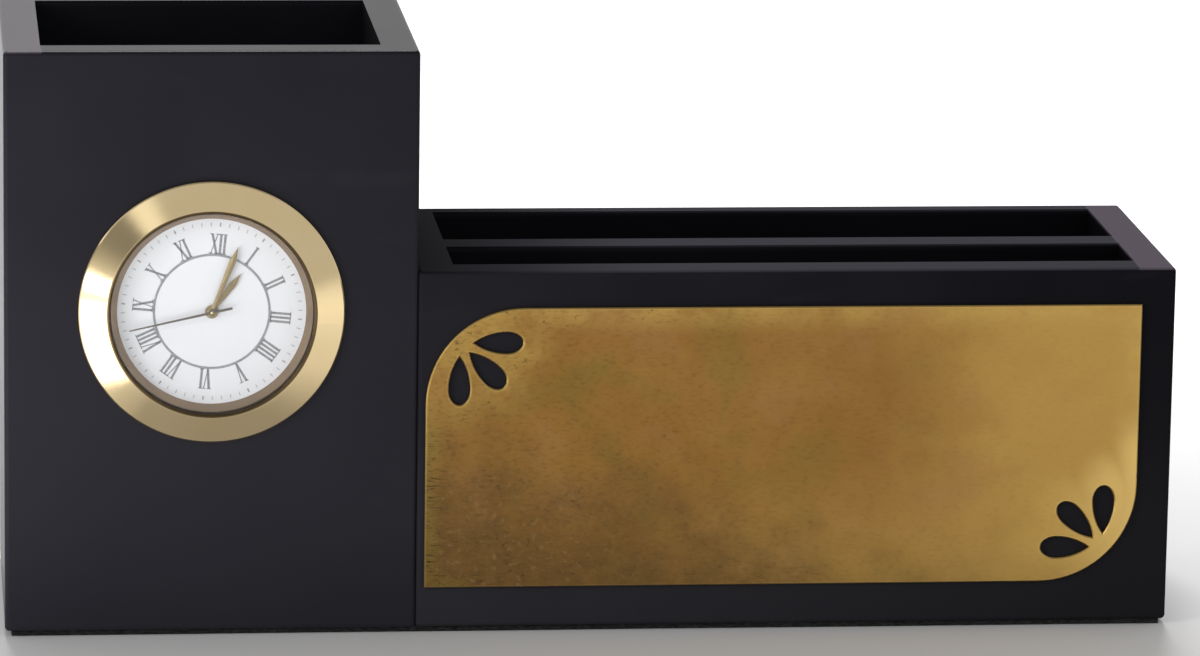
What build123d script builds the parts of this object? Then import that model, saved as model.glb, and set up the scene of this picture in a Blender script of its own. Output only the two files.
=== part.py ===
from build123d import *
import math
import os

# Desk pen stand: a pen box and a divided tray in black board, an insert clock and a brass plate.
# Millimetres. +X right, front towards -Y, +Z up, origin under the middle of the whole stand.

# Boxes
tower_width = 71.0
tower_height = 101.5
tray_length = 132.0
tray_height = 63.0
box_depth = 57.0
board = 6.4
back_board = 4.0
base_board = 5.0
front_slot = 15.4
rabbet = 2.0
dado_stop = 8.0
edge_round = 0.8
dowel_diameter = 5.0
dowel_depth = 4.0
dowel_spacing = 26.0
glue_gap = 0.05
felt_thickness = 1.0
felt_inset = 1.0

# Brass plate
plate_length = 124.6
plate_height = 49.4
plate_thickness = 0.9
plate_corner = 17.0
plate_left_gap = 1.4
plate_bottom_gap = 7.3
plate_edge = 0.2
petal_from_end = 5.75
petal_from_edge = 6.1
petal_start = 2.35
petal_length = 8.6
petal_widest = 5.9
petal_width = 3.8

# Clock insert
clock_height = 56.3
insert_hole = 40.0
bezel_diameter = 45.6
bezel_proud = 3.0
bezel_rim = 0.8
bezel_lip = 0.7
sight_diameter = 35.0
sight_edge = 0.25
crystal_diameter = 37.0
crystal_thickness = 1.2
dial_opening = 32.4
dial_thickness = 0.4
hand_room = 1.6
skirt_wall = 0.7
skirt_depth = 2.0
case_wall = 1.0
case_back = 1.2
ring_width = 3.0
ring_seat = 0.8
slip_fit = 0.05
dial_turn = 5.5
shown_hour = 1
shown_minute = 2
shown_second = 42

# Hands
hour_reach = 8.3
hour_shoulder = 6.0
hour_width = 1.15
minute_reach = 12.3
minute_shoulder = 9.6
minute_width = 1.15
stem_width = 0.55
second_reach = 14.5
second_tail = 3.6
second_width = 0.42
second_tip = 0.2
boss_rim = 0.35
hand_thickness = 0.2
hand_gap = 0.2

# Movement
wheel_thickness = 0.6
layer_gap = 0.3
pinion_overhang = 0.1
end_shake = 0.1
plate_wall = 1.2
bridge_wall = 1.0
running_fit = 0.06
seconds_radius = 0.25
cannon_radius = 0.50
pipe_radius = 0.80
arbor_radius = 0.25
rotor_arbor = 0.20
knob_arbor = 0.80
motion_spacing = 5.0
train_spacing = 4.8
rotor_spacing = 3.15
motion_angle = -90
third_angle = 150
drive_angle = 30
pillar_circle = 14.0
pillar_angles = (75, 160, 300)
pillar_radius = 1.2
post_radius = 0.4
screw_radius = 0.5
screw_head = 1.2
screw_head_height = 0.8
screw_slot = 0.4
magnet_radius = 1.5
stator_wall = 0.7
pole_width = 1.2
core_width = 1.0
coil_offset = 4.6
coil_radius = 1.3
coil_bore = 0.75
coil_length = 5.0
circuit_x = 2.0
circuit_width = 11.0
circuit_length = 16.0
can_radius = 0.9
can_length = 6.0
battery_diameter = 7.9
battery_thickness = 3.6
battery_x = -9.0
battery_y = -5.0
contact_width = 2.0
contact_foot = 1.4
contact_gap = 1.0
cover_margin = 0.65
cover_turn = 60
tab_length = 1.1
tab_width = 2.4
tab_play = 0.3
cover_rim = 0.5
coin_slot = 1.2
knob_diameter = 6.4
knob_length = 3.0
knob_flutes = 16

# Tooth counts
rotor_leaves = 6
intermediate_teeth = 36
intermediate_leaves = 8
seconds_teeth = 40
seconds_leaves = 8
third_teeth = 60
third_leaves = 8
center_teeth = 64
cannon_leaves = 12
minute_teeth = 36
minute_leaves = 10
hour_teeth = 40
knob_leaves = 12

# Places shared by the pieces
total_width = tower_width + tray_length
left_x = -total_width / 2
right_x = total_width / 2
seam_x = left_x + tower_width
front_y = (bezel_proud - box_depth) / 2
back_y = front_y + box_depth
inner_front = front_y + board
inner_back = back_y - back_board
floor_z = felt_thickness
base_top = floor_z + base_board
divider_y = inner_front + front_slot
clock_x = left_x + tower_width / 2
clock_z = floor_z + clock_height

# Clock heights, measured out from the front board
crystal_front = bezel_proud - bezel_lip
crystal_rear = crystal_front - crystal_thickness
dial_front = crystal_rear - hand_room
dial_rear = dial_front - dial_thickness
layer_step = wheel_thickness + layer_gap
hour_layer = dial_rear - layer_gap
minute_layer = hour_layer - layer_step
plate_front = minute_layer - layer_step
plate_rear = plate_front - plate_wall
center_layer = plate_rear - layer_gap
third_layer = center_layer - layer_step
third_end = third_layer - wheel_thickness
seconds_layer = third_layer - layer_step
seconds_end = seconds_layer - wheel_thickness
bridge_front = seconds_layer - layer_step
bridge_rear = bridge_front - bridge_wall
pivot_front = plate_rear + plate_wall * 2 / 3
pivot_rear = bridge_rear + bridge_wall / 3
battery_front = bridge_front + wheel_thickness
battery_rear = battery_front - battery_thickness
case_inside = battery_rear - case_back / 2 - layer_gap / 3
case_outside = case_inside - case_back
coil_height = (plate_rear - bridge_front) / 2
hour_hand_rear = dial_front + hand_gap
minute_hand_rear = hour_hand_rear + hand_thickness + hand_gap
second_hand_rear = minute_hand_rear + hand_thickness + hand_gap

# Clock radii
crystal_radius = crystal_diameter / 2
bore_radius = crystal_radius + slip_fit
skirt_radius = bore_radius + skirt_wall
case_bore = crystal_radius - case_wall
case_ledge = case_bore - case_wall
ring_radius = skirt_radius - ring_seat
bridge_radius = case_ledge - skirt_wall
cover_radius = battery_diameter / 2 + cover_margin
tab_reach = cover_radius + tab_length

clock_face = Plane((clock_x, front_y, clock_z), x_dir=(1, 0, 0), z_dir=(0, -1, 0))
clock_place = clock_face.location * Rot(0, 0, -dial_turn)

nodes = {}
upwards = (Align.CENTER, Align.CENTER, Align.MIN)
downwards = (Align.CENTER, Align.CENTER, Align.MAX)


def block(x0, x1, y0, y1, z0, z1):
    return Pos(x0, y0, z0) * Box(x1 - x0, y1 - y0, z1 - z0, align=(Align.MIN, Align.MIN, Align.MIN))


def rod(radius, z0, z1, at=(0, 0)):
    bottom = min(z0, z1)
    return Pos(at[0], at[1], bottom) * Cylinder(radius, abs(z1 - z0), align=upwards)


def tube(outer, inner, z0, z1):
    return rod(outer, z0, z1) - rod(inner, z0, z1)


def turned(*profile):
    outline = Polyline(*[(radius, 0, height) for radius, height in profile], close=True)
    return revolve(make_face(outline), Axis.Z)


def polar(radius, angle):
    return (radius * math.cos(math.radians(angle)), radius * math.sin(math.radians(angle)))


def add(a, b):
    return (a[0] + b[0], a[1] + b[1])


def toothed(teeth, module, z0, z1, phase):
    """Wheel with straight flanked teeth, one tooth centred on the phase angle."""
    pitch = teeth * module / 2
    tip = pitch + 0.9 * module
    root = pitch - 1.2 * module
    half = math.degrees(0.45 * math.pi / teeth)
    slope = math.degrees(math.tan(math.radians(20)) * module / pitch)
    points = []
    for tooth in range(teeth):
        middle = phase + tooth * 360 / teeth
        points.append(polar(root, middle - half - 1.2 * slope))
        points.append(polar(tip, middle - half + 0.9 * slope))
        points.append(polar(tip, middle + half - 0.9 * slope))
        points.append(polar(root, middle + half + 1.2 * slope))
    face = make_face(Polyline(*points, close=True))
    return Pos(0, 0, min(z0, z1)) * extrude(face, abs(z1 - z0), dir=(0, 0, 1))


def meshed(teeth, phase, other_teeth, direction):
    """Phase of a wheel that meshes with a driver lying opposite to the given direction."""
    return direction + 180 - teeth / other_teeth * (phase - direction) + 180 / other_teeth


def spacing_module(spacing, teeth, other_teeth):
    return 2 * spacing / (teeth + other_teeth)


# Layout of the movement, looking at the dial
minute_at = polar(motion_spacing, motion_angle)
knob_spacing = spacing_module(motion_spacing, cannon_leaves, minute_teeth) * (minute_teeth + knob_leaves) / 2
knob_at = add(minute_at, polar(knob_spacing, motion_angle))
third_at = polar(train_spacing, third_angle)
intermediate_at = polar(train_spacing, drive_angle)
rotor_at = polar(train_spacing + rotor_spacing, drive_angle)
battery_at = (battery_x, battery_y)
pillars = [polar(pillar_circle, angle) for angle in pillar_angles]


# Boxes


def walls(prefix, x0, x1, height):
    """Five boards of one box, cut from a block whose outer edges are sanded round."""
    top = floor_z + height
    outer = block(x0, x1, front_y, back_y, floor_z, top)
    outer = fillet(outer.edges(), edge_round)
    base = block(
        x0 + board - rabbet, x1 - board + rabbet, inner_front - rabbet, inner_back + rabbet, floor_z, base_top
    )
    front = outer & block(x0 + board, x1 - board, front_y, inner_front, floor_z, top)
    back = outer & block(x0, x1, inner_back, back_y, floor_z, top)
    left = outer & block(x0, x0 + board, front_y, inner_back, floor_z, top)
    right = outer & block(x1 - board, x1, front_y, inner_back, floor_z, top)
    nodes[prefix + "_base"] = base
    nodes[prefix + "_front"] = front - base
    nodes[prefix + "_back"] = back - base
    return left - base, right - base


def divider():
    top = floor_z + tray_height
    left = seam_x + board
    right = right_x - board
    back = divider_y + board
    panel = block(left, right, divider_y, back, base_top, top)
    tongues = block(left - rabbet, right + rabbet, divider_y, back, base_top, top - dado_stop)
    return panel + tongues


def dowels(radius, depth):
    middle = floor_z + tray_height / 2
    group = []
    for y in (-dowel_spacing / 2, dowel_spacing / 2):
        group.append(Pos(seam_x, y, middle) * Rot(0, 90, 0) * Cylinder(radius, 2 * depth))
    return group


def boxes():
    tower_left, tower_right = walls("tower", left_x, seam_x, tower_height)
    tray_left, tray_right = walls("tray", seam_x, right_x, tray_height)
    hole = clock_face.location * rod(insert_hole / 2, 1, -board - 1)
    nodes["tower_front"] = nodes["tower_front"] - hole
    nodes["tray_divider"] = divider()
    for bore in dowels(dowel_diameter / 2 + glue_gap, dowel_depth + glue_gap):
        tower_right = tower_right - bore
        tray_left = tray_left - bore
    nodes["tower_left_side"] = tower_left
    nodes["tower_right_side"] = tower_right
    nodes["tray_left_end"] = tray_left - nodes["tray_divider"]
    nodes["tray_right_end"] = tray_right - nodes["tray_divider"]
    nodes["box_dowels"] = Compound(children=dowels(dowel_diameter / 2, dowel_depth))
    inset = felt_inset
    nodes["felt_base"] = block(
        left_x + inset, right_x - inset, front_y + inset, back_y - inset, 0, felt_thickness
    )


# Brass plate


def petal():
    """Full teardrop: two bowed flanks from the point at the origin, and half an ellipse at the far end."""
    half = petal_width / 2
    flanks = [TangentArc((petal_widest, y), (0, 0), tangent=(-1, 0)) for y in (half, -half)]
    end = EllipticalCenterArc((petal_widest, 0), petal_length - petal_widest, half, -90, arc_size=180)
    return make_face([*flanks, end])


def brass_plate():
    """Sheet with two opposite corners round and a fan of three petals in each of them."""
    outline = Rectangle(plate_length, plate_height)
    corners = outline.vertices().sort_by(lambda v: v.X - v.Y)
    outline = fillet([corners[0], corners[-1]], plate_corner)
    hub = (plate_length / 2 - petal_from_end, plate_height / 2 - petal_from_edge)
    for side in (1, -1):
        for angle in (0, 45, 90):
            turn = Pos(-side * hub[0], side * hub[1]) * Rot(0, 0, 90 - 90 * side - angle)
            outline = outline - turn * Pos(petal_start, 0) * petal()
    sheet = extrude(outline, plate_thickness, dir=(0, 0, 1))
    sheet = chamfer(sheet.faces().sort_by(Axis.Z)[-1].edges(), plate_edge)
    centre_x = seam_x + plate_left_gap + plate_length / 2
    centre_z = floor_z + plate_bottom_gap + plate_height / 2
    return Pos(centre_x, front_y, centre_z) * Rot(90, 0, 0) * sheet


# Clock shell


def bezel():
    outer = bezel_diameter / 2
    sight = sight_diameter / 2
    crest = sight + sight_edge
    return turned(
        (skirt_radius, -skirt_depth),
        (skirt_radius, 0),
        (outer, 0),
        (outer, bezel_rim),
        (outer - bezel_rim / 4, bezel_rim * 1.25),
        (crest + bezel_rim / 2, bezel_proud - bezel_rim / 8),
        (crest, bezel_proud),
        (sight, bezel_proud - sight_edge),
        (sight, crystal_front),
        (bore_radius, crystal_front),
        (bore_radius, -skirt_depth),
    )


def dial_ring():
    foot = dial_opening / 2
    mouth = sight_diameter / 2 - case_wall / 5
    return turned(
        (crystal_radius, crystal_rear),
        (crystal_radius, dial_front),
        (foot, dial_front),
        (mouth, crystal_rear),
    )


def case():
    """Cup with a plug for the bezel, a seat for the rubber ring and a ledge for the main plate."""
    ring_front = -skirt_depth - ring_seat
    ring_back = ring_front - ring_width
    cup = turned(
        (crystal_radius, dial_rear),
        (crystal_radius, -skirt_depth),
        (skirt_radius, -skirt_depth),
        (skirt_radius, ring_front),
        (ring_radius, ring_front),
        (ring_radius, ring_back),
        (skirt_radius, ring_back),
        (skirt_radius, case_outside),
        (0, case_outside),
        (0, case_inside),
        (case_ledge, case_inside),
        (case_ledge, plate_rear),
        (case_bore, plate_rear),
        (case_bore, dial_rear),
    )
    cup = cup - rod(knob_arbor + running_fit, case_outside, case_inside, knob_at)
    hatch = rod(cover_radius + running_fit, case_outside, case_inside)
    notch = Box(2 * (tab_reach + tab_play), tab_width + 2 * tab_play, 2 * case_back)
    notch = Pos(0, 0, case_outside) * Rot(0, 0, cover_turn) * notch
    return cup - Pos(*battery_at) * (hatch + notch)


def grip_ring():
    """Rubber ring with three fins that reach out to the wall of the hole."""
    root = ring_radius + ring_seat - slip_fit
    reach = insert_hole / 2 - slip_fit
    top = -skirt_depth - ring_seat
    pitch = ring_width / 3
    profile = [(ring_radius, top), (root, top)]
    for fin in range(3):
        start = top - fin * pitch
        profile.append((reach, start - pitch / 2))
        profile.append((root, start - pitch))
    profile.append((ring_radius, top - ring_width))
    return turned(*profile)


def battery_cover():
    """Plug with two tabs behind the case wall and a flange with a coin slot."""
    flange = wheel_thickness
    plug = rod(cover_radius, case_outside, battery_rear - layer_gap / 3)
    tabs = Box(2 * tab_reach, tab_width, case_back / 2 - slip_fit, align=downwards)
    tabs = Pos(0, 0, battery_rear - layer_gap / 3) * tabs
    rim = rod(tab_reach + cover_rim, case_outside - flange, case_outside)
    slot = Pos(0, 0, case_outside - flange) * Box(2 * cover_radius, coin_slot, flange)
    return Pos(*battery_at) * (plug + tabs + rim - slot)


def clock_shell():
    nodes["clock_bezel"] = bezel()
    nodes["clock_crystal"] = rod(crystal_radius, crystal_rear, crystal_front)
    nodes["dial_ring"] = dial_ring()
    nodes["clock_dial"] = tube(crystal_radius, pipe_radius + 4 * running_fit, dial_rear, dial_front)
    nodes["clock_case"] = case()
    nodes["grip_ring"] = grip_ring()
    nodes["battery_cover"] = battery_cover()


# Movement frame


def main_plate():
    """Plate with a rim under the dial, a post for the minute wheel and three pillars."""
    radius = case_bore - slip_fit
    plate = rod(radius, plate_front, plate_rear)
    plate = plate + tube(radius, radius - case_wall, dial_rear, plate_front)
    plate = plate + rod(post_radius, plate_front, dial_rear - layer_gap / 3, minute_at)
    for spot in pillars:
        plate = plate + rod(pillar_radius, plate_rear, bridge_front, spot)
        plate = plate - rod(screw_radius + slip_fit, plate_rear, bridge_front, spot)
    plate = plate - rod(cannon_radius + running_fit, plate_front, plate_rear)
    plate = plate - rod(knob_arbor + running_fit, plate_front, plate_rear, knob_at)
    plate = plate - rod(rotor_arbor + running_fit, plate_rear, pivot_front + end_shake, rotor_at)
    for spot in (third_at, intermediate_at):
        plate = plate - rod(arbor_radius + running_fit, plate_rear, pivot_front + end_shake, spot)
    return plate


def train_bridge():
    plate = rod(bridge_radius, bridge_front, bridge_rear)
    for spot in pillars:
        plate = plate - rod(screw_radius + running_fit, bridge_front, bridge_rear, spot)
    for spot in (third_at, intermediate_at):
        plate = plate - rod(arbor_radius + running_fit, bridge_front, bridge_rear, spot)
    plate = plate - rod(rotor_arbor + running_fit, bridge_front, bridge_rear, rotor_at)
    plate = plate - rod(seconds_radius + running_fit, bridge_front, bridge_rear)
    plate = plate - rod(knob_arbor + running_fit, bridge_front, bridge_rear, knob_at)
    return plate - rod(battery_diameter / 2 + layer_gap, bridge_front, bridge_rear, battery_at)


def bridge_screws():
    group = []
    top = bridge_rear - screw_head_height
    for spot in pillars:
        shank = rod(screw_radius, bridge_rear, plate_rear, spot)
        head = rod(screw_head, bridge_rear, top, spot)
        slot = Pos(spot[0], spot[1], top) * Box(2 * screw_head, screw_slot, screw_slot)
        group.append(clock_place * (shank + head - slot))
    return Compound(children=group)


def stator():
    """Pole ring round the rotor with two arms that carry the core of the coil."""
    top = plate_rear
    bottom = plate_rear - stator_wall
    reach = add(rotor_at, (coil_offset, 0))
    span = coil_length / 2 + 2 * core_width
    length = math.hypot(coil_offset, span)
    plate = rod(magnet_radius + pole_width, top, bottom, rotor_at)
    for side in (1, -1):
        arm = Pos(length / 2, 0) * Box(length + core_width, pole_width, stator_wall)
        turn = side * math.degrees(math.atan2(span, coil_offset))
        plate = plate + Pos(rotor_at[0], rotor_at[1], (top + bottom) / 2) * Rot(0, 0, turn) * arm
        post = Box(core_width, core_width, coil_height + core_width / 2, align=downwards)
        plate = plate + Pos(reach[0], reach[1] + side * span, top) * post
    core = Pos(reach[0], reach[1], plate_rear - coil_height) * Box(core_width, 2 * span, core_width)
    return plate + core - rod(magnet_radius + layer_gap, top, bottom, rotor_at)


def coil():
    reach = add(rotor_at, (coil_offset, 0))
    winding = Cylinder(coil_radius, coil_length) - Cylinder(coil_bore, coil_length)
    return Pos(reach[0], reach[1], plate_rear - coil_height) * Rot(90, 0, 0) * winding


def battery_contacts():
    """Leaf under the cell with a foot on the bridge, and a leaf that bears on its side."""
    leaf = layer_gap
    half = contact_width / 2
    left = battery_x - half
    right = battery_x + half
    foot_top = battery_y - battery_diameter / 2 - contact_gap
    foot_end = foot_top - contact_foot
    under = block(left, right, foot_end, battery_y + half, battery_front, battery_front + leaf)
    foot = block(left, right, foot_end, foot_top, bridge_front, battery_front)
    side = battery_x + battery_diameter / 2
    low = battery_rear + contact_gap
    beside = block(side, side + 2 * leaf, battery_y - half, battery_y + half, low, bridge_rear)
    return Compound(children=[clock_place * (under + foot), clock_place * beside])


def movement_frame():
    nodes["main_plate"] = main_plate()
    nodes["train_bridge"] = train_bridge()
    nodes["stator"] = stator()
    nodes["coil"] = coil()
    nodes["battery"] = rod(battery_diameter / 2, battery_front, battery_rear, battery_at)
    board_rear = bridge_rear - wheel_thickness
    half = circuit_length / 2
    nodes["circuit_board"] = block(circuit_x, circuit_x + circuit_width, -half, half, board_rear, bridge_rear)
    can = Rot(90, 0, 0) * Cylinder(can_radius, can_length)
    nodes["quartz_can"] = Pos(circuit_x + circuit_width * 3 / 4, 0, board_rear - can_radius) * can


# Movement wheels


def rotor():
    module = spacing_module(rotor_spacing, rotor_leaves, intermediate_teeth)
    magnet = rod(magnet_radius, plate_rear - end_shake, plate_rear - end_shake - stator_wall)
    pinion = toothed(rotor_leaves, module, third_layer + pinion_overhang, third_end - pinion_overhang, 0)
    return Pos(*rotor_at) * (rod(rotor_arbor, pivot_front, pivot_rear) + magnet + pinion)


def intermediate_wheel():
    module = spacing_module(rotor_spacing, rotor_leaves, intermediate_teeth)
    phase = meshed(rotor_leaves, 0, intermediate_teeth, drive_angle + 180)
    wheel = toothed(intermediate_teeth, module, third_layer, third_end, phase)
    drive = spacing_module(train_spacing, intermediate_leaves, seconds_teeth)
    pinion = toothed(intermediate_leaves, drive, third_end, seconds_end - pinion_overhang, 0)
    return Pos(*intermediate_at) * (rod(arbor_radius, pivot_front, pivot_rear) + wheel + pinion)


def seconds_wheel():
    module = spacing_module(train_spacing, intermediate_leaves, seconds_teeth)
    phase = meshed(intermediate_leaves, 0, seconds_teeth, drive_angle + 180)
    wheel = toothed(seconds_teeth, module, seconds_layer, seconds_end, phase)
    drive = spacing_module(train_spacing, seconds_leaves, third_teeth)
    pinion = toothed(seconds_leaves, drive, third_layer + pinion_overhang, seconds_layer, 0)
    arbor = rod(seconds_radius, second_hand_rear + hand_thickness + end_shake, pivot_rear)
    return arbor + wheel + pinion


def third_wheel():
    module = spacing_module(train_spacing, seconds_leaves, third_teeth)
    phase = meshed(seconds_leaves, 0, third_teeth, third_angle)
    wheel = toothed(third_teeth, module, third_layer, third_end, phase)
    drive = spacing_module(train_spacing, third_leaves, center_teeth)
    pinion = toothed(third_leaves, drive, center_layer + pinion_overhang, third_layer, 0)
    return Pos(*third_at) * (rod(arbor_radius, pivot_front, pivot_rear) + wheel + pinion)


def center_wheel():
    module = spacing_module(train_spacing, third_leaves, center_teeth)
    phase = meshed(third_leaves, 0, center_teeth, third_angle + 180)
    wheel = toothed(center_teeth, module, center_layer, center_layer - wheel_thickness, phase)
    return wheel - rod(cannon_radius + running_fit, center_layer, center_layer - wheel_thickness)


def cannon_pinion():
    module = spacing_module(motion_spacing, cannon_leaves, minute_teeth)
    start = minute_layer + pinion_overhang
    end = minute_layer - wheel_thickness - pinion_overhang
    pinion = toothed(cannon_leaves, module, start, end, 0)
    front = minute_hand_rear + hand_thickness
    rear = center_layer - wheel_thickness - pinion_overhang
    pipe = rod(cannon_radius, front, rear) + pinion
    return pipe - rod(seconds_radius + running_fit, front, rear)


def minute_wheel():
    module = spacing_module(motion_spacing, cannon_leaves, minute_teeth)
    phase = meshed(cannon_leaves, 0, minute_teeth, motion_angle)
    wheel = toothed(minute_teeth, module, minute_layer, minute_layer - wheel_thickness, phase)
    drive = spacing_module(motion_spacing, minute_leaves, hour_teeth)
    pinion = toothed(minute_leaves, drive, hour_layer + pinion_overhang, minute_layer, 0)
    bore = rod(post_radius + running_fit, hour_layer + pinion_overhang, minute_layer - wheel_thickness)
    return Pos(*minute_at) * (wheel + pinion - bore)


def hour_wheel():
    module = spacing_module(motion_spacing, minute_leaves, hour_teeth)
    phase = meshed(minute_leaves, 0, hour_teeth, motion_angle + 180)
    wheel = toothed(hour_teeth, module, hour_layer, hour_layer - wheel_thickness, phase)
    front = hour_hand_rear + hand_thickness
    pipe = rod(pipe_radius, front, hour_layer) + wheel
    return pipe - rod(cannon_radius + running_fit, front, hour_layer - wheel_thickness)


def setting_knob():
    """Fluted knob behind the case on an arbor that turns the minute wheel."""
    module = spacing_module(motion_spacing, cannon_leaves, minute_teeth)
    driver = meshed(cannon_leaves, 0, minute_teeth, motion_angle)
    phase = meshed(minute_teeth, driver, knob_leaves, motion_angle)
    start = minute_layer + pinion_overhang
    pinion = toothed(knob_leaves, module, start, minute_layer - wheel_thickness - pinion_overhang, phase)
    head = case_outside - layer_gap
    grip = toothed(knob_flutes, knob_diameter / knob_flutes, head - knob_length, head, 0)
    return Pos(*knob_at) * (rod(knob_arbor, start, head - knob_length) + pinion + grip)


def hand(outline, bore, rear, angle):
    """Thin sheet of the given outline on a round boss, turned clockwise from twelve."""
    face = make_face(Polyline(*outline, close=True)) + Circle(bore + boss_rim)
    face = face - Circle(bore)
    return Pos(0, 0, rear) * Rot(0, 0, -angle) * extrude(face, hand_thickness, dir=(0, 0, 1))


def leaf(reach, shoulder, width):
    half = width / 2
    stem = stem_width / 2
    return [(-stem, 0), (-half, shoulder), (0, reach), (half, shoulder), (stem, 0)]


def needle(reach, tail, width, tip):
    half = width / 2
    end = tip / 2
    return [(-half, -tail), (-half, 0), (-end, reach), (end, reach), (half, 0), (half, -tail)]


def hands():
    minutes = shown_minute + shown_second / 60
    hours = shown_hour + minutes / 60
    hour_leaf = leaf(hour_reach, hour_shoulder, hour_width)
    minute_leaf = leaf(minute_reach, minute_shoulder, minute_width)
    second_needle = needle(second_reach, second_tail, second_width, second_tip)
    nodes["hour_hand"] = hand(hour_leaf, pipe_radius, hour_hand_rear, 30 * hours)
    nodes["minute_hand"] = hand(minute_leaf, cannon_radius, minute_hand_rear, 6 * minutes)
    nodes["second_hand"] = hand(second_needle, seconds_radius, second_hand_rear, 6 * shown_second)


def wheels():
    nodes["rotor"] = rotor()
    nodes["intermediate_wheel"] = intermediate_wheel()
    nodes["seconds_wheel"] = seconds_wheel()
    nodes["third_wheel"] = third_wheel()
    nodes["center_wheel"] = center_wheel()
    nodes["cannon_pinion"] = cannon_pinion()
    nodes["minute_wheel"] = minute_wheel()
    nodes["hour_wheel"] = hour_wheel()
    nodes["setting_knob"] = setting_knob()


clock_shell()
movement_frame()
wheels()
hands()
for name, shape in nodes.items():
    nodes[name] = clock_place * shape
nodes["bridge_screws"] = bridge_screws()
nodes["battery_contacts"] = battery_contacts()
boxes()
nodes["brass_plate"] = brass_plate()

os.makedirs("parts", exist_ok=True)
for name, shape in nodes.items():
    export_step(shape, "parts/" + name + ".step")
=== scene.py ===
"""Looks of the desk pen stand: black board boxes, an aged brass plate and an insert clock."""
import math

import bmesh
import bpy
from mathutils import Euler, Matrix, Vector


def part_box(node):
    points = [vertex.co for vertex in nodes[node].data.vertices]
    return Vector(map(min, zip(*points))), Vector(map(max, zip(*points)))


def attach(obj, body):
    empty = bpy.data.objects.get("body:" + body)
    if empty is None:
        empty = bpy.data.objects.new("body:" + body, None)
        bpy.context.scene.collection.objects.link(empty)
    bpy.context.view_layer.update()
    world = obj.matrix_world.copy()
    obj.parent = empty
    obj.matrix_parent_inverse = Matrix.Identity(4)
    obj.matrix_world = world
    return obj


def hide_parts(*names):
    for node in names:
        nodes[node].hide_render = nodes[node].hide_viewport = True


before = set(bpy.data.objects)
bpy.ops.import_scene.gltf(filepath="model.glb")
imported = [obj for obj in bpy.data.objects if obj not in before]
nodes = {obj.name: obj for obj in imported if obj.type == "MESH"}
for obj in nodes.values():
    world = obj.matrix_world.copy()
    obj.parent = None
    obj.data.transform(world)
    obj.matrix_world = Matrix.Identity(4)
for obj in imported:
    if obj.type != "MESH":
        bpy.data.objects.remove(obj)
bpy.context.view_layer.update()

MM = 0.001


def corners(name):
    """Lowest and highest corner of a node, in millimetres."""
    low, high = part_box(name)
    return low / MM, high / MM


def rgb(red, green, blue):
    return (red, green, blue, 1.0)


# Boxes: the outer faces and the thickness of the boards, in millimetres
LEFT_X = corners("tower_left_side")[0].x
SEAM_X = corners("tray_left_end")[0].x
RIGHT_X = corners("tray_right_end")[1].x
FRONT_Y = corners("tower_front")[0].y
BACK_Y = corners("tower_back")[1].y
TOWER_TOP = corners("tower_front")[1].z
TRAY_TOP = corners("tray_front")[1].z
BOARD = corners("tower_left_side")[1].x - LEFT_X
BACK_BOARD = BACK_Y - corners("tower_back")[0].y

# Clock face, in millimetres: its centre lies on the dial, in the middle of the bezel
BEZEL_LOW, BEZEL_HIGH = corners("clock_bezel")
CLOCK_X = (BEZEL_LOW.x + BEZEL_HIGH.x) / 2
CLOCK_Z = (BEZEL_LOW.z + BEZEL_HIGH.z) / 2
DIAL = Vector((CLOCK_X, corners("clock_dial")[0].y, CLOCK_Z)) * MM
# radius inside which the bezel's inner lip is painted dark as shade
SIGHT_RADIUS = 18.1
INK_DEPTH = 0.05
CIRCLE_RADIUS = 9.9
CIRCLE_WIDTH = 0.4
CIRCLE_STEPS = 144
NUMERAL_FOOT = 10.1
NUMERAL_HEIGHT = 3.5
MINUTE_FOOT = 14.9
MINUTE_TOP = 15.55
MINUTE_WIDTH = 0.12
FIFTH_WIDTH = 0.26

# Letters of the numerals: the room that each takes, its two strokes and its serifs, in millimetres
LETTER_WIDTH = {"I": 0.72, "V": 1.32, "X": 1.4}
THICK = 0.4
THIN = 0.17
SERIF = 0.14
SERIF_REACH = 0.3

# Time that the hands show, and how far the dial is turned in its hole, in degrees clockwise
SHOWN_HOUR = 1
SHOWN_MINUTE = 2
SHOWN_SECOND = 42
DIAL_TURN = 5.5
HOUR_STEP = 30
MINUTE_STEP = 6
SECOND_ANGLE = DIAL_TURN + MINUTE_STEP * SHOWN_SECOND
MINUTE_ANGLE = DIAL_TURN + MINUTE_STEP * (SHOWN_MINUTE + SHOWN_SECOND / 60)
HOUR_ANGLE = DIAL_TURN + HOUR_STEP * (SHOWN_HOUR + (SHOWN_MINUTE + SHOWN_SECOND / 60) / 60)

# Brass plate, in millimetres: its middle and half sizes, the round corner and the fan of petals
PLATE_LOW, PLATE_HIGH = corners("brass_plate")
PLATE_X = (PLATE_LOW.x + PLATE_HIGH.x) / 2
PLATE_Z = (PLATE_LOW.z + PLATE_HIGH.z) / 2
PLATE_HALF_LENGTH = (PLATE_HIGH.x - PLATE_LOW.x) / 2
PLATE_HALF_HEIGHT = (PLATE_HIGH.z - PLATE_LOW.z) / 2
PLATE_CORNER = 17.0
PETAL_FROM_END = 5.75
PETAL_FROM_EDGE = 6.1
PETAL_START = 2.35
PETAL_LENGTH = 8.6
PETAL_WIDEST = 5.9
PETAL_WIDTH = 3.8

# Felt: squares along and across, waver of its edge in millimetres and per metre, share of its thickness
FELT_SQUARES = 96, 26
FELT_WAVER = 0.12
FELT_WAVES = 2900, 3700
FELT_SHARE = 0.98
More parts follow.
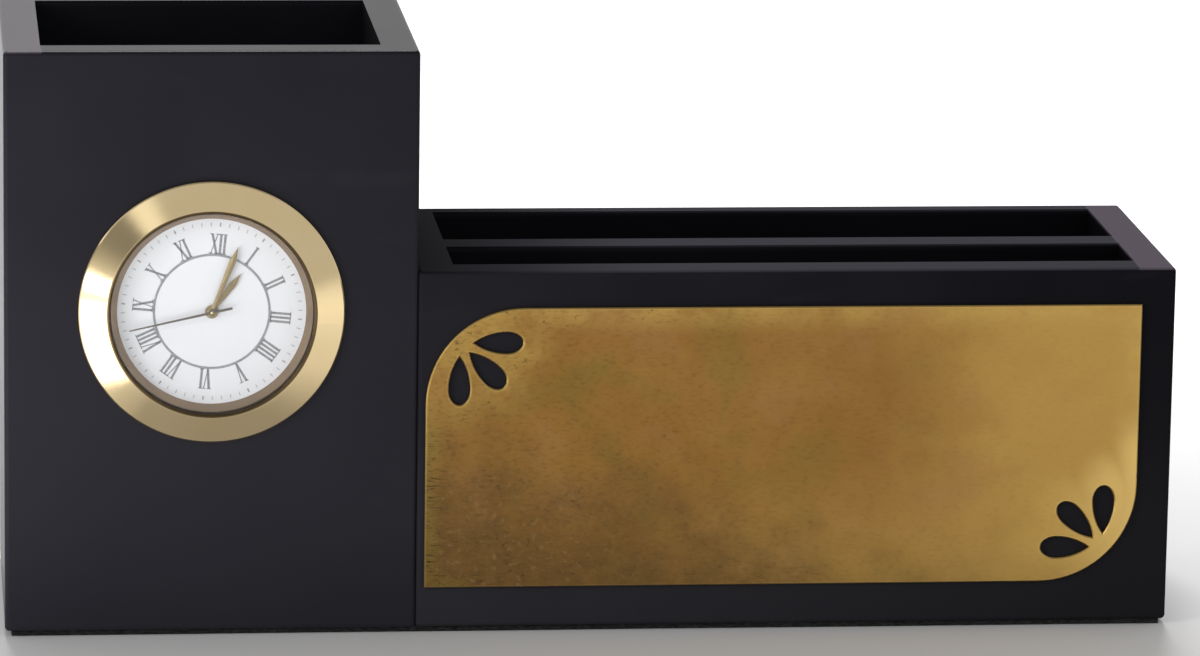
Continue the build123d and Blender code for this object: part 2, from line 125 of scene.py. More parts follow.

# Black paint: each box's cloudy tones and a lighter tone at its foot, painted light that lifts the lower
# walls, then the tones that both share, among them painted shade and painted sheen
TOWER_TONES = rgb(0.0141, 0.0134, 0.0183), rgb(0.0174, 0.0166, 0.0220), rgb(0.0275, 0.0266, 0.0341)
TRAY_TONES = rgb(0.0154, 0.0146, 0.0188), rgb(0.0194, 0.0184, 0.0232), rgb(0.0345, 0.0336, 0.0400)
RIGHT_SHADE_BLACK = rgb(0.0015, 0.0015, 0.0020)
SHADE_BLACK = rgb(0.0030, 0.0030, 0.0040)
RUBBED_BLACK = rgb(0.028, 0.028, 0.034)
# painted sheen tones for the top rims, and how far from the left wall the sheen takes to grow
COOL_SHEEN_GREY = rgb(0.090, 0.091, 0.108)
PLUM_SHEEN_GREY = rgb(0.092, 0.078, 0.096)
PAINT_SHEEN = rgb(0.92, 0.90, 1.0)
PAINT_EDGE = 0.3
SHEEN_REACH = 45.0

# Brass tones: sheet, stains, then what is rubbed bright, with the painted light at the foot and the painted
# highlight of the edges among them
YELLOW_BRASS = rgb(0.425, 0.255, 0.068)
BROWN_BRASS = rgb(0.285, 0.143, 0.036)
OLIVE_BRASS = rgb(0.205, 0.145, 0.034)
ROSY_BRASS = rgb(0.34, 0.18, 0.066)
GRIMY_BRASS = rgb(0.15, 0.084, 0.022)
FLAKED_BRASS = rgb(0.36, 0.23, 0.098)
GREEN_BRASS = rgb(0.27, 0.19, 0.038)
NICKED_BRASS = rgb(0.06, 0.038, 0.014)
DASHED_BRASS = rgb(0.09, 0.05, 0.017)
SPOTTED_BRASS = rgb(0.045, 0.03, 0.013)
BARE_BRASS = rgb(0.52, 0.345, 0.095)
FOOT_LIGHT_BRASS = rgb(0.60, 0.375, 0.105)
RIM_HIGHLIGHT_BRASS = rgb(0.62, 0.43, 0.15)
WORN_BRASS = rgb(0.72, 0.50, 0.165)

# Clock tones: a deep and a pale one each
BEZEL_TONES = rgb(0.81, 0.63, 0.34), rgb(0.87, 0.70, 0.42)
# the dial ring's bronze is darkened to stand in also for the shade under the bezel's lip
SHADED_RING_TONES = rgb(0.22, 0.135, 0.065), rgb(0.33, 0.215, 0.11)
LIP_SHADE_TONE = rgb(0.13, 0.088, 0.044)
HAND_TONES = rgb(0.25, 0.18, 0.080), rgb(0.34, 0.255, 0.115)
NEEDLE_TONES = rgb(0.115, 0.095, 0.070), rgb(0.18, 0.15, 0.11)
WHEEL_TONES = rgb(0.50, 0.34, 0.11), rgb(0.62, 0.44, 0.17)
NUMERAL_TONES = rgb(0.19, 0.19, 0.20), rgb(0.34, 0.34, 0.36)
CIRCLE_TONES = rgb(0.24, 0.24, 0.27), rgb(0.38, 0.38, 0.42)
MINUTE_TONES = rgb(0.34, 0.32, 0.31), rgb(0.52, 0.50, 0.49)
CASE_TONES = rgb(0.026, 0.026, 0.026), rgb(0.040, 0.040, 0.040)
RUBBER_TONES = rgb(0.012, 0.012, 0.012), rgb(0.02, 0.02, 0.02)
TRAIN_TONES = rgb(0.66, 0.66, 0.62), rgb(0.76, 0.76, 0.73)

# Table: its half width in metres, its white, and the glow that sets in away from the stand, in millimetres
TABLE_REACH = 20.0
TABLE_WHITE = rgb(0.86, 0.86, 0.86)
TABLE_GLOW = 0.3
GLOW_NEAR = 110.0
GLOW_FAR = 400.0

# Camera: its place in millimetres, its turn in degrees, its lens and sensor
CAMERA_PLACE = -117.36, -1149.92, 296.76
CAMERA_TURN = 77.864, -0.873, -5.825
CAMERA_LENS = 200.93
CAMERA_SENSOR = 36.0


class Shade:
    """A shader socket. Sums and products of shades add Math nodes."""

    def __init__(self, finish, socket):
        self.finish = finish
        self.socket = socket

    def math(self, operation, *values):
        return self.finish.node("ShaderNodeMath", {"operation": operation}, dict(enumerate(values)))

    def __add__(self, other):
        return self.math("ADD", self, other)

    def __sub__(self, other):
        return self.math("SUBTRACT", self, other)

    def __rsub__(self, other):
        return self.math("SUBTRACT", other, self)

    def __mul__(self, other):
        return self.math("MULTIPLY", self, other)

    def __truediv__(self, other):
        return self.math("DIVIDE", self, other)

    def __abs__(self):
        return self.math("ABSOLUTE", self)

    __radd__ = __add__
    __rmul__ = __mul__

    def least(self, other):
        return self.math("MINIMUM", self, other)

    def most(self, other):
        return self.math("MAXIMUM", self, other)

    def sign(self):
        return self.math("SIGN", self)

    def sine(self):
        return self.math("SINE", self)

    def hypot(self, other):
        return self.math("SQRT", self * self + other * other)

    def between(self, low, high):
        """Eases from 0 at low to 1 at high."""
        sockets = {"Value": self, "From Min": low, "From Max": high}
        return self.finish.node("ShaderNodeMapRange", {"interpolation_type": "SMOOTHSTEP"}, sockets)


class Finish:
    """The nodes of a material, or of the room around the stand."""

    def __init__(self, name, room=False):
        self.owner = bpy.data.worlds.new(name) if room else bpy.data.materials.new(name)
        self.owner.use_nodes = True
        self.tree = self.owner.node_tree
        self.tree.nodes.clear()
        self.output = "ShaderNodeOutputWorld" if room else "ShaderNodeOutputMaterial"

    def node(self, kind, settings=None, sockets=None, output=0):
        made = self.tree.nodes.new(kind)
        for name, value in (settings or {}).items():
            setattr(made, name, value)
        for key, value in (sockets or {}).items():
            if isinstance(value, Shade):
                self.tree.links.new(value.socket, made.inputs[key])
            else:
                made.inputs[key].default_value = value
        if made.outputs:
            return Shade(self, made.outputs[output])

    def place(self):
        return self.node("ShaderNodeTexCoord", output="Object")

    def axis(self, letter):
        """Object coordinate along one axis, in millimetres."""
        return self.node("ShaderNodeSeparateXYZ", None, {"Vector": self.place()}, letter) * (1 / MM)

    def grain(self, size, stretch=(1, 1, 1), detail=3.0, roughness=0.5):
        """Noise from 0 to 1 with features of about the given size in millimetres."""
        scale = tuple(1 / MM / size / part for part in stretch)
        spot = self.node("ShaderNodeMapping", None, {"Vector": self.place(), "Scale": scale})
        sockets = {"Vector": spot, "Scale": 1.0, "Detail": detail, "Roughness": roughness}
        return self.node("ShaderNodeTexNoise", {"normalize": True}, sockets)

    def cells(self, size):
        """Distance to the middle of the nearest of many scattered cells."""
        return self.node("ShaderNodeTexVoronoi", None, {"Vector": self.place(), "Scale": 1 / MM / size})

    def tint(self, share, start, end):
        """Colour that goes from start to end with the share."""
        return self.node("ShaderNodeMix", {"data_type": "RGBA"}, {0: share, 6: start, 7: end}, 2)

    def relief(self, height, depth):
        """Normal of a surface raised by up to the given depth in millimetres."""
        return self.node("ShaderNodeBump", None, {"Height": height, "Strength": 1.0, "Distance": depth * MM})

    def surface(self, **sockets):
        """Principled surface; socket names are written with underscores."""
        named = {key.replace("_", " "): value for key, value in sockets.items()}
        return self.node("ShaderNodeBsdfPrincipled", None, named)

    def done(self, shader):
        self.node(self.output, None, {"Surface": shader})
        return self.owner


# Finishes of the boxes and the plate


def satin_black(name, tones, roughness, gloss, ends, top, right_shade, rim_sheen):
    """Sprayed satin paint on board, with a fine orange peel, and painted light that makes it lighter towards
    the foot.

    It is painted darker inside as shade and towards the right end as shade; its rims are painted darker as
    shade and then lighter as sheen, which leaves a painted shadow of the tower at the tray's left end. The
    last argument gives the sheen's shares on the left wall, away from the left wall, and on the right wall.
    """
    f = Finish(name)
    deep, pale, foot_lift_tone = tones
    left, right = ends
    x = f.axis("X")
    y = f.axis("Y")
    z = f.axis("Z")
    cloud = f.grain(30.0, detail=2.0)
    peel = f.grain(0.9, detail=2.0)
    rubbed = f.grain(6.0, (4, 4, 1), detail=4.0).between(0.62, 0.8)
    past_ends = (x - left).least(right - x).between(BOARD - PAINT_EDGE, BOARD)
    past_walls = (y - FRONT_Y - BOARD).least(BACK_Y - BACK_BOARD - y).between(-PAINT_EDGE, 0.0)
    # painted shade: the faces inside each box are darkened as the shade in the box
    inside_shade = past_ends * past_walls * (1.0 - z.between(top - 1.2, top - 0.5))
    # painted light on the top rims: they are darkened as shade, then lightened with grey as sheen
    rim_lighting = z.between(top - 0.5, top - 0.15)
    left_wall = 1.0 - x.between(left + BOARD, left + BOARD + PAINT_EDGE)
    right_wall = x.between(right - BOARD - PAINT_EDGE, right - BOARD)
    # painted sheen that grows away from the left wall; on the tray its absence by the tower is a painted
    # shadow of the tower
    cool_rim_sheen = x.between(left, left + SHEEN_REACH) * rim_sheen[1]
    plum_rim_sheen = left_wall * rim_sheen[0] + right_wall * rim_sheen[2]
    # painted light: the boards grow lighter towards the foot, to lift the shade on the lower walls
    foot_lift = (1.0 - z.between(0.0, top)) * (0.7 + cloud * 0.6)
    colour = f.tint(cloud.between(0.3, 0.7), deep, pale)
    colour = f.tint(foot_lift, colour, foot_lift_tone)
    # painted shade: the paint darkens towards the right end, as where light falls from the left
    colour = f.tint((x - left) * (right_shade / (right - left)), colour, RIGHT_SHADE_BLACK)
    colour = f.tint(rubbed * 0.25, colour, RUBBED_BLACK)
    # painted shade inside the boxes and on the top rims
    colour = f.tint(inside_shade * 0.5 + rim_lighting * 0.6, colour, SHADE_BLACK)
    colour = f.tint(rim_lighting * cool_rim_sheen, colour, COOL_SHEEN_GREY)
    colour = f.tint(rim_lighting * plum_rim_sheen, colour, PLUM_SHEEN_GREY)
    return f.done(
        f.surface(
            Base_Color=colour,
            Roughness=roughness + (cloud - 0.5) * 0.06 - rubbed * 0.04 + inside_shade * 0.1,
            Normal=f.relief(peel, 0.012),
            Specular_IOR_Level=gloss,
            Specular_Tint=PAINT_SHEEN,
        )
    )


def petal_distance(along, across):
    """Distance from a full teardrop with bowed flanks and an elliptical end, in millimetres."""
    half = PETAL_WIDTH / 2
    bow = (PETAL_WIDEST**2 + half**2) / PETAL_WIDTH
    past = along - (PETAL_START + PETAL_WIDEST)
    flank = past.hypot(across + (bow - half)) - bow
    end = (past * (half / (PETAL_LENGTH - PETAL_WIDEST))).hypot(across) - half
    return end.least(flank.most(past))


def plate_edge(x, z):
    """Distance from the plate's nearest edge, outline or petal, in millimetres."""
    side = x.sign()
    right = x * side
    up = z * side
    corner_x = (right - (PLATE_HALF_LENGTH - PLATE_CORNER)).most(0.0)
    corner_z = (0.0 - up - (PLATE_HALF_HEIGHT - PLATE_CORNER)).most(0.0)
    outline = (PLATE_CORNER - corner_x.hypot(corner_z)).least(PLATE_HALF_HEIGHT - up)
    back = PLATE_HALF_LENGTH - PETAL_FROM_END - right
    rise = up + PLATE_HALF_HEIGHT - PETAL_FROM_EDGE
    diagonal = math.sqrt(0.5)
    along = (back + rise) * diagonal
    across = abs(back - rise) * diagonal
    middle = petal_distance(along, across)
    outer = petal_distance((along + across) * diagonal, abs(along - across) * diagonal)
    return outline.least(middle.least(outer))


def aged_brass():
    """Brass sheet: browner towards the left, grimy at the lower left, rubbed bright along its edges, with a
    painted highlight along its edges and painted light at the foot of its right half.
    """
    f = Finish("aged_brass")
    x = f.axis("X") - PLATE_X
    z = f.axis("Z") - PLATE_Z
    edge = plate_edge(x, z)
    toward_left = 0.5 - x / (2 * PLATE_HALF_LENGTH)
    toward_foot = 0.5 - z / (2 * PLATE_HALF_HEIGHT)
    by_edge = 1.0 - edge.between(0.3, 5.5)
    clouds = f.grain(26.0, detail=2.0)
    mottle = f.grain(6.5, detail=5.0, roughness=0.6)
    blush = f.grain(11.0, detail=3.0)
    dashes = f.grain(0.5, (2.6, 1, 1), detail=3.0, roughness=0.6)
    specks = f.grain(0.9, (1.6, 1, 1), detail=3.0, roughness=0.65)
    brushing = f.grain(0.22, (60, 1, 1), detail=2.0)
    grit = f.grain(1.6, (1.4, 1, 1), detail=4.0, roughness=0.7)
    flakes = f.grain(1.0, (1.5, 1, 1), detail=3.0, roughness=0.6)
    nicks = f.grain(0.32, (7, 1, 1), detail=2.0)

    # darker and browner towards the left
    brown_to_left = toward_left.between(0.06, 0.4) * 0.75 + toward_left * 0.15
    brown = (brown_to_left + (clouds - 0.5) * 0.6 + (mottle - 0.5) * 0.5).between(0.0, 1.0)
    colour = f.tint(brown, YELLOW_BRASS, BROWN_BRASS)
    olive = blush.between(0.5, 0.72) * toward_left.between(0.05, 0.7)
    colour = f.tint(olive * 0.5, colour, OLIVE_BRASS)
    rosy = 1.0 - blush.between(0.3, 0.48)
    colour = f.tint(rosy * 0.4, colour, ROSY_BRASS)

    stain = (1.0 - edge.between(0.5, 5.0)) * toward_left.between(0.3, 0.95)
    dirt = toward_left + toward_foot + (clouds - 0.5) * 0.5 + (mottle - 0.5) * 0.6
    grime = dirt.between(1.15, 1.8)
    bare = by_edge * mottle.between(0.25, 0.65) * (1.0 - grime)
    colour = f.tint(bare * 0.6, colour, BARE_BRASS)
    # painted light: the foot of the right half is lightened to lift the dark floor that it mirrors
    painted_foot_light = toward_foot.between(0.5, 1.0) * (1.0 - toward_left.between(0.45, 0.75))
    colour = f.tint(painted_foot_light * 0.45, colour, FOOT_LIGHT_BRASS)
    colour = f.tint(grime * (grit * 1.1 + 0.1), colour, GRIMY_BRASS)
    flaked = flakes.between(0.54, 0.72) * (grime + stain * 0.3) * toward_left.between(0.55, 0.85)
    colour = f.tint(flaked * 0.45, colour, FLAKED_BRASS)

    left_edge = toward_left.between(0.86, 0.97) * toward_foot.between(0.3, 0.5)
    green = (1.0 - edge.between(0.6, 3.6)) * left_edge * mottle.between(0.38, 0.6)
    colour = f.tint(green * 0.5, colour, GREEN_BRASS)
    nicked = nicks.between(0.58, 0.67) * (1.0 - edge.between(1.0, 4.5)) * left_edge
    colour = f.tint(nicked * 0.75, colour, NICKED_BRASS)
    dashed = dashes.between(0.48, 0.72) * (0.05 + toward_left * 0.27)
    colour = f.tint(dashed, colour, DASHED_BRASS)
    spread = (toward_left * 0.62 + toward_foot * 0.25 + stain * 0.5).between(0.25, 1.05)
    spotted = specks.between(0.57, 0.68) * mottle.between(0.4, 0.65) * spread
    colour = f.tint(spotted * 0.85, colour, SPOTTED_BRASS)

    # painted highlight: a pale line along every edge and petal stands in for glints on the cut edges
    rim_lighting = 1.0 - edge.between(0.06, 0.42)
    colour = f.tint(rim_lighting * (1.0 - grime * 0.6) * 0.65, colour, RIM_HIGHLIGHT_BRASS)
    worn = by_edge * (1.0 - toward_left.between(0.01, 0.13)) * toward_foot.between(0.35, 0.55)
    colour = f.tint(worn * 0.75, colour, WORN_BRASS)
    return f.done(
        f.surface(
            Base_Color=colour,
            Metallic=1.0 - grime * 0.25,
            Roughness=0.35 + brown * 0.07 + (dashes - 0.5) * 0.1 + grime * 0.08 - rim_lighting * 0.06,
            Normal=f.relief(brushing * 0.5 + dashes * 0.5 + spotted * 0.6, 0.006),
        )
    )


def black_felt():
    """Pressed wool felt with short loose fibres."""
    f = Finish("black_felt")
    fibres = f.grain(0.35, (3, 1, 1), detail=4.0)
    matted = f.grain(2.5, detail=3.0)
    colour = f.tint(fibres.between(0.35, 0.7), rgb(0.006, 0.006, 0.006), rgb(0.03, 0.03, 0.031))
    normal = f.relief(fibres + matted * 0.5, 0.25)
    return f.done(
        f.surface(Base_Color=colour, Roughness=0.95, Normal=normal, Sheen_Weight=0.35, Specular_IOR_Level=0.1)
    )


def beech():
    """Plain dowel wood with fine rings and short flecks."""
    f = Finish("beech")
    rings = f.grain(0.9, (8, 1, 1), detail=3.0)
    flecks = f.grain(0.5, (5, 1, 1), detail=2.0).between(0.6, 0.75)
    colour = f.tint(rings, rgb(0.48, 0.31, 0.17), rgb(0.62, 0.44, 0.27))
    colour = f.tint(flecks * 0.5, colour, rgb(0.34, 0.19, 0.09))
    return f.done(f.surface(Base_Color=colour, Roughness=0.6, Normal=f.relief(rings, 0.03)))


# Finishes of the clock


def from_clock_axis(f):
    """Steps to the right of the clock's axis and above it, in millimetres."""
    return f.axis("X") - CLOCK_X, f.axis("Z") - CLOCK_Z


def turned_gold(name, tones, roughness, shaded_within=0.0):
    """Turned and polished gold plate with faint lathe rings; inside a radius it may be painted dark as shade
    and made rougher.
    """
    f = Finish(name)
    x, z = from_clock_axis(f)
    radius = x.hypot(z)
    spot = f.node("ShaderNodeCombineXYZ", None, {"X": radius * 9.0})
    rings = f.node("ShaderNodeTexNoise", None, {"Vector": spot, "Scale": 1.0, "Detail": 3.0})
    smears = f.grain(7.0, detail=3.0)
    # painted shade: inside the given radius the bezel's inner lip is painted dark
    inner_lip_shade = 1.0 - radius.between(shaded_within - 0.15, shaded_within)
    colour = f.tint(inner_lip_shade, f.tint(smears, *tones), LIP_SHADE_TONE)
    shine = roughness + smears * 0.04 + (rings - 0.5) * 0.05 + inner_lip_shade * 0.2
    return f.done(f.surface(Base_Color=colour, Metallic=1.0, Roughness=shine, Normal=f.relief(rings, 0.004)))


def stamped_metal(name, angle, tones):
    """Stamped clock metal with a raised middle line at an angle round the clock's axis."""
    f = Finish(name)
    x, z = from_clock_axis(f)
    turn = math.radians(angle)
    across = abs(x * math.cos(turn) - z * math.sin(turn))
    brushed = f.grain(0.12, detail=2.0)
    colour = f.tint(brushed, *tones)
    normal = f.relief(1.0 - across.least(0.8), 0.22)
    return f.done(f.surface(Base_Color=colour, Metallic=1.0, Roughness=0.24 + brushed * 0.1, Normal=normal))


def watch_glass():
    """Clear mineral glass; it lets lamp light through to the dial."""
    f = Finish("watch_glass")
    smudge = f.grain(5.0, detail=4.0).between(0.45, 0.75)
    clear = f.node("ShaderNodeBsdfTransparent")
    glass = f.surface(
        Base_Color=rgb(0.97, 0.985, 0.99), Roughness=0.01 + smudge * 0.02, IOR=1.5, Transmission_Weight=1.0
    )
    shadow = f.node("ShaderNodeLightPath", output="Is Shadow Ray")
    scattered = f.node("ShaderNodeLightPath", output="Is Diffuse Ray")
    return f.done(f.node("ShaderNodeMixShader", None, {0: shadow.most(scattered), 1: glass, 2: clear}))


def dial_white():
    """Matt white dial sheet with a faint tooth."""
    f = Finish("dial_white")
    tooth = f.grain(0.18, detail=2.0)
    cloud = f.grain(12.0, detail=2.0)
    colour = f.tint(cloud, rgb(0.88, 0.88, 0.91), rgb(0.92, 0.92, 0.945))
    return f.done(f.surface(Base_Color=colour, Roughness=0.5 + tooth * 0.08, Normal=f.relief(tooth, 0.01)))


def dial_ink(name, tones):
    """Printed ink that is a little thin in places."""
    f = Finish(name)
    thin = f.grain(0.5, detail=3.0).between(0.3, 0.75)
    return f.done(f.surface(Base_Color=f.tint(thin, *tones), Roughness=0.42 + thin * 0.1))


# Finishes inside and behind the clock


def moulding(name, tones, roughness):
    """Moulded piece with a fine spark texture and slight flow marks."""
    f = Finish(name)
    spark = f.grain(0.35, detail=3.0)
    flow = f.grain(9.0, (2, 1, 1), detail=2.0)
    shine = roughness + (spark - 0.5) * 0.12
    return f.done(f.surface(Base_Color=f.tint(flow, *tones), Roughness=shine, Normal=f.relief(spark, 0.02)))


def bright_steel():
    """Nickelled steel with fine brushing."""
    f = Finish("bright_steel")
    brushed = f.grain(0.15, (12, 1, 1), detail=2.0)
    tone = f.grain(4.0, detail=3.0)
    colour = f.tint(tone, rgb(0.50, 0.50, 0.50), rgb(0.66, 0.66, 0.65))
    shine = 0.24 + brushed * 0.12
    normal = f.relief(brushed, 0.004)
    return f.done(f.surface(Base_Color=colour, Metallic=1.0, Roughness=shine, Normal=normal))


def copper_winding():
    """Enamelled wire, wound in close turns along the clock's upright."""
    f = Finish("copper_winding")
    wire = 0.16
    turns = (f.axis("Z") * (2 * math.pi / wire)).sine()
    tone = f.grain(1.2, detail=2.0)
    colour = f.tint(tone, rgb(0.50, 0.17, 0.06), rgb(0.70, 0.29, 0.12))
    shine = 0.3 + tone * 0.1
    return f.done(f.surface(Base_Color=colour, Metallic=1.0, Roughness=shine, Normal=f.relief(turns, 0.03)))


def circuit_green():
    """Solder mask over copper tracks."""
    f = Finish("circuit_green")
    tracks = f.cells(2.4).between(0.3, 0.36)
    speck = f.grain(0.4, detail=2.0)
    colour = f.tint(tracks, rgb(0.05, 0.24, 0.09), rgb(0.02, 0.13, 0.05))
    return f.done(f.surface(Base_Color=colour, Roughness=0.3 + speck * 0.1, Normal=f.relief(tracks, 0.03)))


# Pieces that are made here


def piece(name, mesh, material, body):
    """Object of a finished bmesh, which rides on a body."""
    bmesh.ops.recalc_face_normals(mesh, faces=mesh.faces)
    data = bpy.data.meshes.new(name)
    mesh.to_mesh(data)
    mesh.free()
    data.materials.append(material)
    made = bpy.data.objects.new(name, data)
    bpy.context.scene.collection.objects.link(made)
    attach(made, body)
    return made


def face_place(angle):
    """Place on the dial with Z pointing outwards at a clock angle in degrees."""
    return Matrix.Translation(DIAL) @ Matrix.Rotation(math.radians(angle + DIAL_TURN), 4, "Y")


def stroke(mesh, place, width, foot, top, lean=0.0, middle=0.0):
    """Printed bar on the dial from foot to top; its top leans over by the given width."""
    height = top - foot
    slant = Matrix.Identity(4)
    slant[0][2] = lean / height
    at = Vector((middle, -INK_DEPTH / 2, (foot + top) / 2)) * MM
    size = Matrix.Diagonal((width * MM, INK_DEPTH * MM, height * MM, 1.0))
    bmesh.ops.create_cube(mesh, size=1.0, matrix=place @ Matrix.Translation(at) @ slant @ size)


def letter(mesh, place, sign, middle):
    """One Roman letter with a heavy and a light stroke, and serifs at its ends."""
    foot = NUMERAL_FOOT
    top = foot + NUMERAL_HEIGHT
    spread = LETTER_WIDTH[sign] / 2 - THICK / 2
    if sign == "I":
        stroke(mesh, place, THICK, foot, top, 0.0, middle)
        tops, feet = [0.0], [0.0]
    if sign == "V":
        stroke(mesh, place, THICK, foot, top, -spread, middle - spread / 2)
        stroke(mesh, place, THIN, foot, top, spread, middle + spread / 2)
        tops, feet = [-spread, spread], []
    if sign == "X":
        stroke(mesh, place, THICK, foot, top, -2 * spread, middle)
        stroke(mesh, place, THIN, foot, top, 2 * spread, middle)
        tops, feet = [-spread, spread], [-spread, spread]
    for shift in tops:
        stroke(mesh, place, THICK + SERIF_REACH, top - SERIF, top, 0.0, middle + shift)
    for shift in feet:
        stroke(mesh, place, THICK + SERIF_REACH, foot, foot + SERIF, 0.0, middle + shift)


def numerals(ink):
    """Roman numerals that stand outwards round the dial."""
    mesh = bmesh.new()
    signs = ["I", "II", "III", "IIII", "V", "VI", "VII", "VIII", "IX", "X", "XI", "XII"]
    for hour, text in enumerate(signs, 1):
        place = face_place(HOUR_STEP * hour)
        left = -sum(LETTER_WIDTH[sign] for sign in text) / 2
        for sign in text:
            letter(mesh, place, sign, left + LETTER_WIDTH[sign] / 2)
            left += LETTER_WIDTH[sign]
    piece("dial_numerals", mesh, ink, "clock")


def hour_circle(ink):
    """Printed ring: a small rectangle spun round the clock's axis."""
    mesh = bmesh.new()
    inner = CIRCLE_RADIUS - CIRCLE_WIDTH / 2
    outer = CIRCLE_RADIUS + CIRCLE_WIDTH / 2
    section = [(inner, 0.0), (outer, 0.0), (outer, -INK_DEPTH), (inner, -INK_DEPTH)]
    ring = [mesh.verts.new(DIAL + Vector((0.0, depth, radius)) * MM) for radius, depth in section]
    edges = [mesh.edges.new((start, end)) for start, end in zip(ring, ring[1:] + ring[:1])]
    turn = 2 * math.pi
    bmesh.ops.spin(
        mesh, geom=edges, cent=DIAL, axis=(0, 1, 0), angle=turn, steps=CIRCLE_STEPS, use_merge=True
    )
    piece("dial_circle", mesh, ink, "clock")


def minute_marks(ink):
    """Short marks at the dial's edge, wider at every fifth minute."""
    mesh = bmesh.new()
    for minute in range(60):
        width = MINUTE_WIDTH if minute % 5 else FIFTH_WIDTH
        stroke(mesh, face_place(MINUTE_STEP * minute), width, MINUTE_FOOT, MINUTE_TOP)
    piece("dial_minutes", mesh, ink, "clock")


def felt_sheet(material):
    """Felt under both boxes, with a slightly ragged cut edge."""
    low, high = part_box("felt_base")
    size = high - low
    middle = (low + high) / 2
    mesh = bmesh.new()
    place = Matrix.Translation(middle) @ Matrix.Diagonal((size.x, size.y, 1.0, 1.0))
    long_way, short_way = FELT_SQUARES
    bmesh.ops.create_grid(mesh, x_segments=long_way, y_segments=short_way, size=0.5, matrix=place)
    for vert in mesh.verts:
        if vert.is_boundary:
            inward = (middle - vert.co).normalized()
            wave = math.sin(vert.co.x * FELT_WAVES[0]) * math.sin(vert.co.y * FELT_WAVES[1] + 1)
            vert.co += inward * MM * FELT_WAVER * (1 + wave)
    bmesh.ops.solidify(mesh, geom=mesh.faces[:], thickness=size.z * FELT_SHARE)
    top = max(vert.co.z for vert in mesh.verts)
    bmesh.ops.translate(mesh, verts=mesh.verts, vec=(0, 0, high.z - top))
    made = piece("felt_sheet", mesh, material, "stand")
    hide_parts("felt_base")


# Dressing the stand


def dress(material, *names):
    for name in names:
        slots = nodes[name].data.materials
        slots.clear()
        slots.append(material)


def dress_boxes():
    tower = satin_black(
        "tower_black",
        TOWER_TONES,
        roughness=0.30,
        gloss=0.08,
        ends=(LEFT_X, SEAM_X),
        top=TOWER_TOP,
        # painted shade towards the right end
        right_shade=0.19,
        # painted shade and sheen on the rims: shares on the left wall, away from it, and on the right wall
        rim_sheen=(0.75, 0.0, 0.0),
    )
    tray = satin_black(
        "tray_black",
        TRAY_TONES,
        roughness=0.46,
        gloss=0.001,
        ends=(SEAM_X, RIGHT_X),
        top=TRAY_TOP,
        # painted shade towards the right end
        right_shade=0.6,
        # painted shade and sheen on the rims: shares on the left wall, away from it, and on the right wall
        rim_sheen=(0.0, 0.4, 1.0),
    )
    dress(tower, *(name for name in nodes if name.startswith("tower")))
    dress(tray, *(name for name in nodes if name.startswith("tray")))
    dress(aged_brass(), "brass_plate")
    dress(beech(), "box_dowels")


def dress_clock_face():
    # the bezel is painted dark as shade inside SIGHT_RADIUS
    dress(turned_gold("pale_gold", BEZEL_TONES, 0.09, SIGHT_RADIUS), "clock_bezel")
    # bronze ring, darkened also as painted shade under the bezel
    dress(turned_gold("bronzed_shaded_gold", SHADED_RING_TONES, 0.3), "dial_ring")
    dress(watch_glass(), "clock_crystal")
    dress(dial_white(), "clock_dial")
    dress(stamped_metal("hour_gold", HOUR_ANGLE, HAND_TONES), "hour_hand")
    dress(stamped_metal("minute_gold", MINUTE_ANGLE, HAND_TONES), "minute_hand")
    dress(stamped_metal("second_bronze", SECOND_ANGLE, NEEDLE_TONES), "second_hand")


def dress_clock_works():
    dress(moulding("black_plastic", CASE_TONES, 0.42), "clock_case", "battery_cover", "setting_knob")
    dress(moulding("black_rubber", RUBBER_TONES, 0.75), "grip_ring")
    white_plastic = moulding("white_plastic", TRAIN_TONES, 0.4)
    dress(white_plastic, "main_plate", "train_bridge", "intermediate_wheel", "third_wheel")
    dress(white_plastic, "center_wheel", "cannon_pinion", "minute_wheel", "hour_wheel")
    steel = bright_steel()
    dress(steel, "battery", "battery_contacts", "bridge_screws", "quartz_can", "stator", "rotor")
    dress(stamped_metal("wheel_brass", 0.0, WHEEL_TONES), "seconds_wheel")
    dress(copper_winding(), "coil")
    dress(circuit_green(), "circuit_board")


# Studio


def floor():
    """White table; lamps light it as any pale surface, and the camera, metal and glass see it a little
    brighter away from the stand, so that near the stand it stays darker as painted shade on top of its real
    shadow.
    """
    mesh = bmesh.new()
    bmesh.ops.create_grid(mesh, x_segments=1, y_segments=1, size=TABLE_REACH)
    data = bpy.data.meshes.new("floor")
    mesh.to_mesh(data)
    mesh.free()
    made = bpy.data.objects.new("floor", data)
    bpy.context.scene.collection.objects.link(made)
    f = Finish("white_table")
    matt = f.node("ShaderNodeBsdfDiffuse", None, {"Color": TABLE_WHITE})
    glow = f.node("ShaderNodeEmission", None, {"Color": rgb(1, 1, 1), "Strength": TABLE_GLOW})
    bright = f.node("ShaderNodeAddShader", None, {0: matt, 1: glow})
    # no glow near the stand: the floor round it stays darker, a painted shade on top of its real shadow
    glow_beyond_shade = f.axis("X").hypot(f.axis("Y") * 1.5).between(GLOW_NEAR, GLOW_FAR)
    seen = f.node("ShaderNodeLightPath", output="Is Camera Ray")
    seen = seen.most(f.node("ShaderNodeLightPath", output="Is Glossy Ray"))
    seen = seen.most(f.node("ShaderNodeLightPath", output="Is Transmission Ray"))
    data.materials.append(f.done(f.node("ShaderNodeMixShader", None, {0: seen * glow_beyond_shade, 1: matt, 2: bright})))


def lamp(name, at, aim, size, power):
    data = bpy.data.lights.new(name, "AREA")
    data.shape = "RECTANGLE"
    data.size, data.size_y = size
    data.energy = power
    made = bpy.data.objects.new(name, data)
    made.location = at
    made.rotation_euler = (Vector(aim) - Vector(at)).to_track_quat("-Z", "Y").to_euler()
    made.visible_camera = False
    bpy.context.scene.collection.objects.link(made)


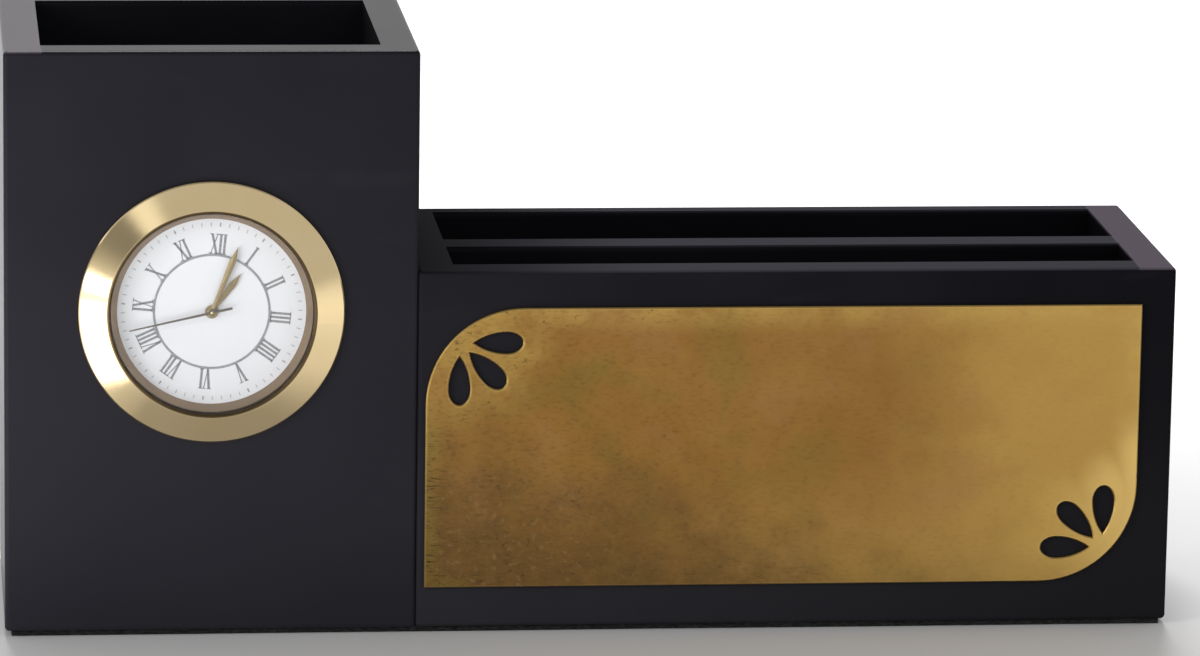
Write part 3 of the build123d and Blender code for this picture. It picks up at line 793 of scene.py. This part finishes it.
def lamps():
    """A soft box above and behind, two at the left that aim at the clock, and a pad on the table."""
    lamp("top_box", at=(0.04, 0.9, 1.55), aim=(0, 0, 0.05), size=(0.6, 0.5), power=22.0)
    lamp("high_box", at=(-1.22, -0.84, 0.57), aim=(-0.066, -0.027, 0.057), size=(0.35, 0.35), power=3.3)
    lamp("low_box", at=(-0.8, -0.85, 0.045), aim=(-0.066, -0.03, 0.057), size=(0.5, 0.09), power=1.2)
    lamp("table_pad", at=(-0.257, -0.215, 0.004), aim=(-0.257, -0.215, 1.0), size=(0.29, 0.29), power=0.66)


def room():
    """Pale room: a bright band behind the stand, and a window and a dark corner at the front left."""
    f = Finish("room", room=True)
    way = f.node("ShaderNodeTexCoord", output="Generated")
    left = 0.0 - f.node("ShaderNodeSeparateXYZ", None, {"Vector": way}, "X")
    up = f.node("ShaderNodeSeparateXYZ", None, {"Vector": way}, "Z")
    back = f.node("ShaderNodeSeparateXYZ", None, {"Vector": way}, "Y").between(-0.25, 0.45)
    corner = left.between(0.40, 0.46) * up.between(0.06, 0.26) * (1.0 - up.between(0.36, 0.40))
    window = left.between(0.24, 0.34) * up.between(0.385, 0.415) * (1.0 - up.between(0.46, 0.54))
    front_light = 0.75 - corner * 0.43 + window * 0.7 - up.between(0.66, 0.9) * 0.4
    back_light = 1.1 - up.between(0.25, 0.6) * 0.65
    light = front_light + back * (back_light - front_light)
    bpy.context.scene.world = f.done(f.node("ShaderNodeBackground", None, {"Strength": light}))


def camera():
    data = bpy.data.cameras.new("camera")
    data.lens = CAMERA_LENS
    data.sensor_width = CAMERA_SENSOR
    data.clip_start = 0.05
    data.clip_end = 100.0
    made = bpy.data.objects.new("camera", data)
    made.location = Vector(CAMERA_PLACE) * MM
    made.rotation_euler = Euler([math.radians(angle) for angle in CAMERA_TURN])
    bpy.context.scene.collection.objects.link(made)
    bpy.context.scene.camera = made


dress_boxes()
dress_clock_face()
dress_clock_works()
numerals(dial_ink("numeral_ink", NUMERAL_TONES))
hour_circle(dial_ink("circle_ink", CIRCLE_TONES))
minute_marks(dial_ink("minute_ink", MINUTE_TONES))
felt_sheet(black_felt())
floor()
room()
lamps()
camera()
bpy.context.scene.view_settings.view_transform = "Standard"
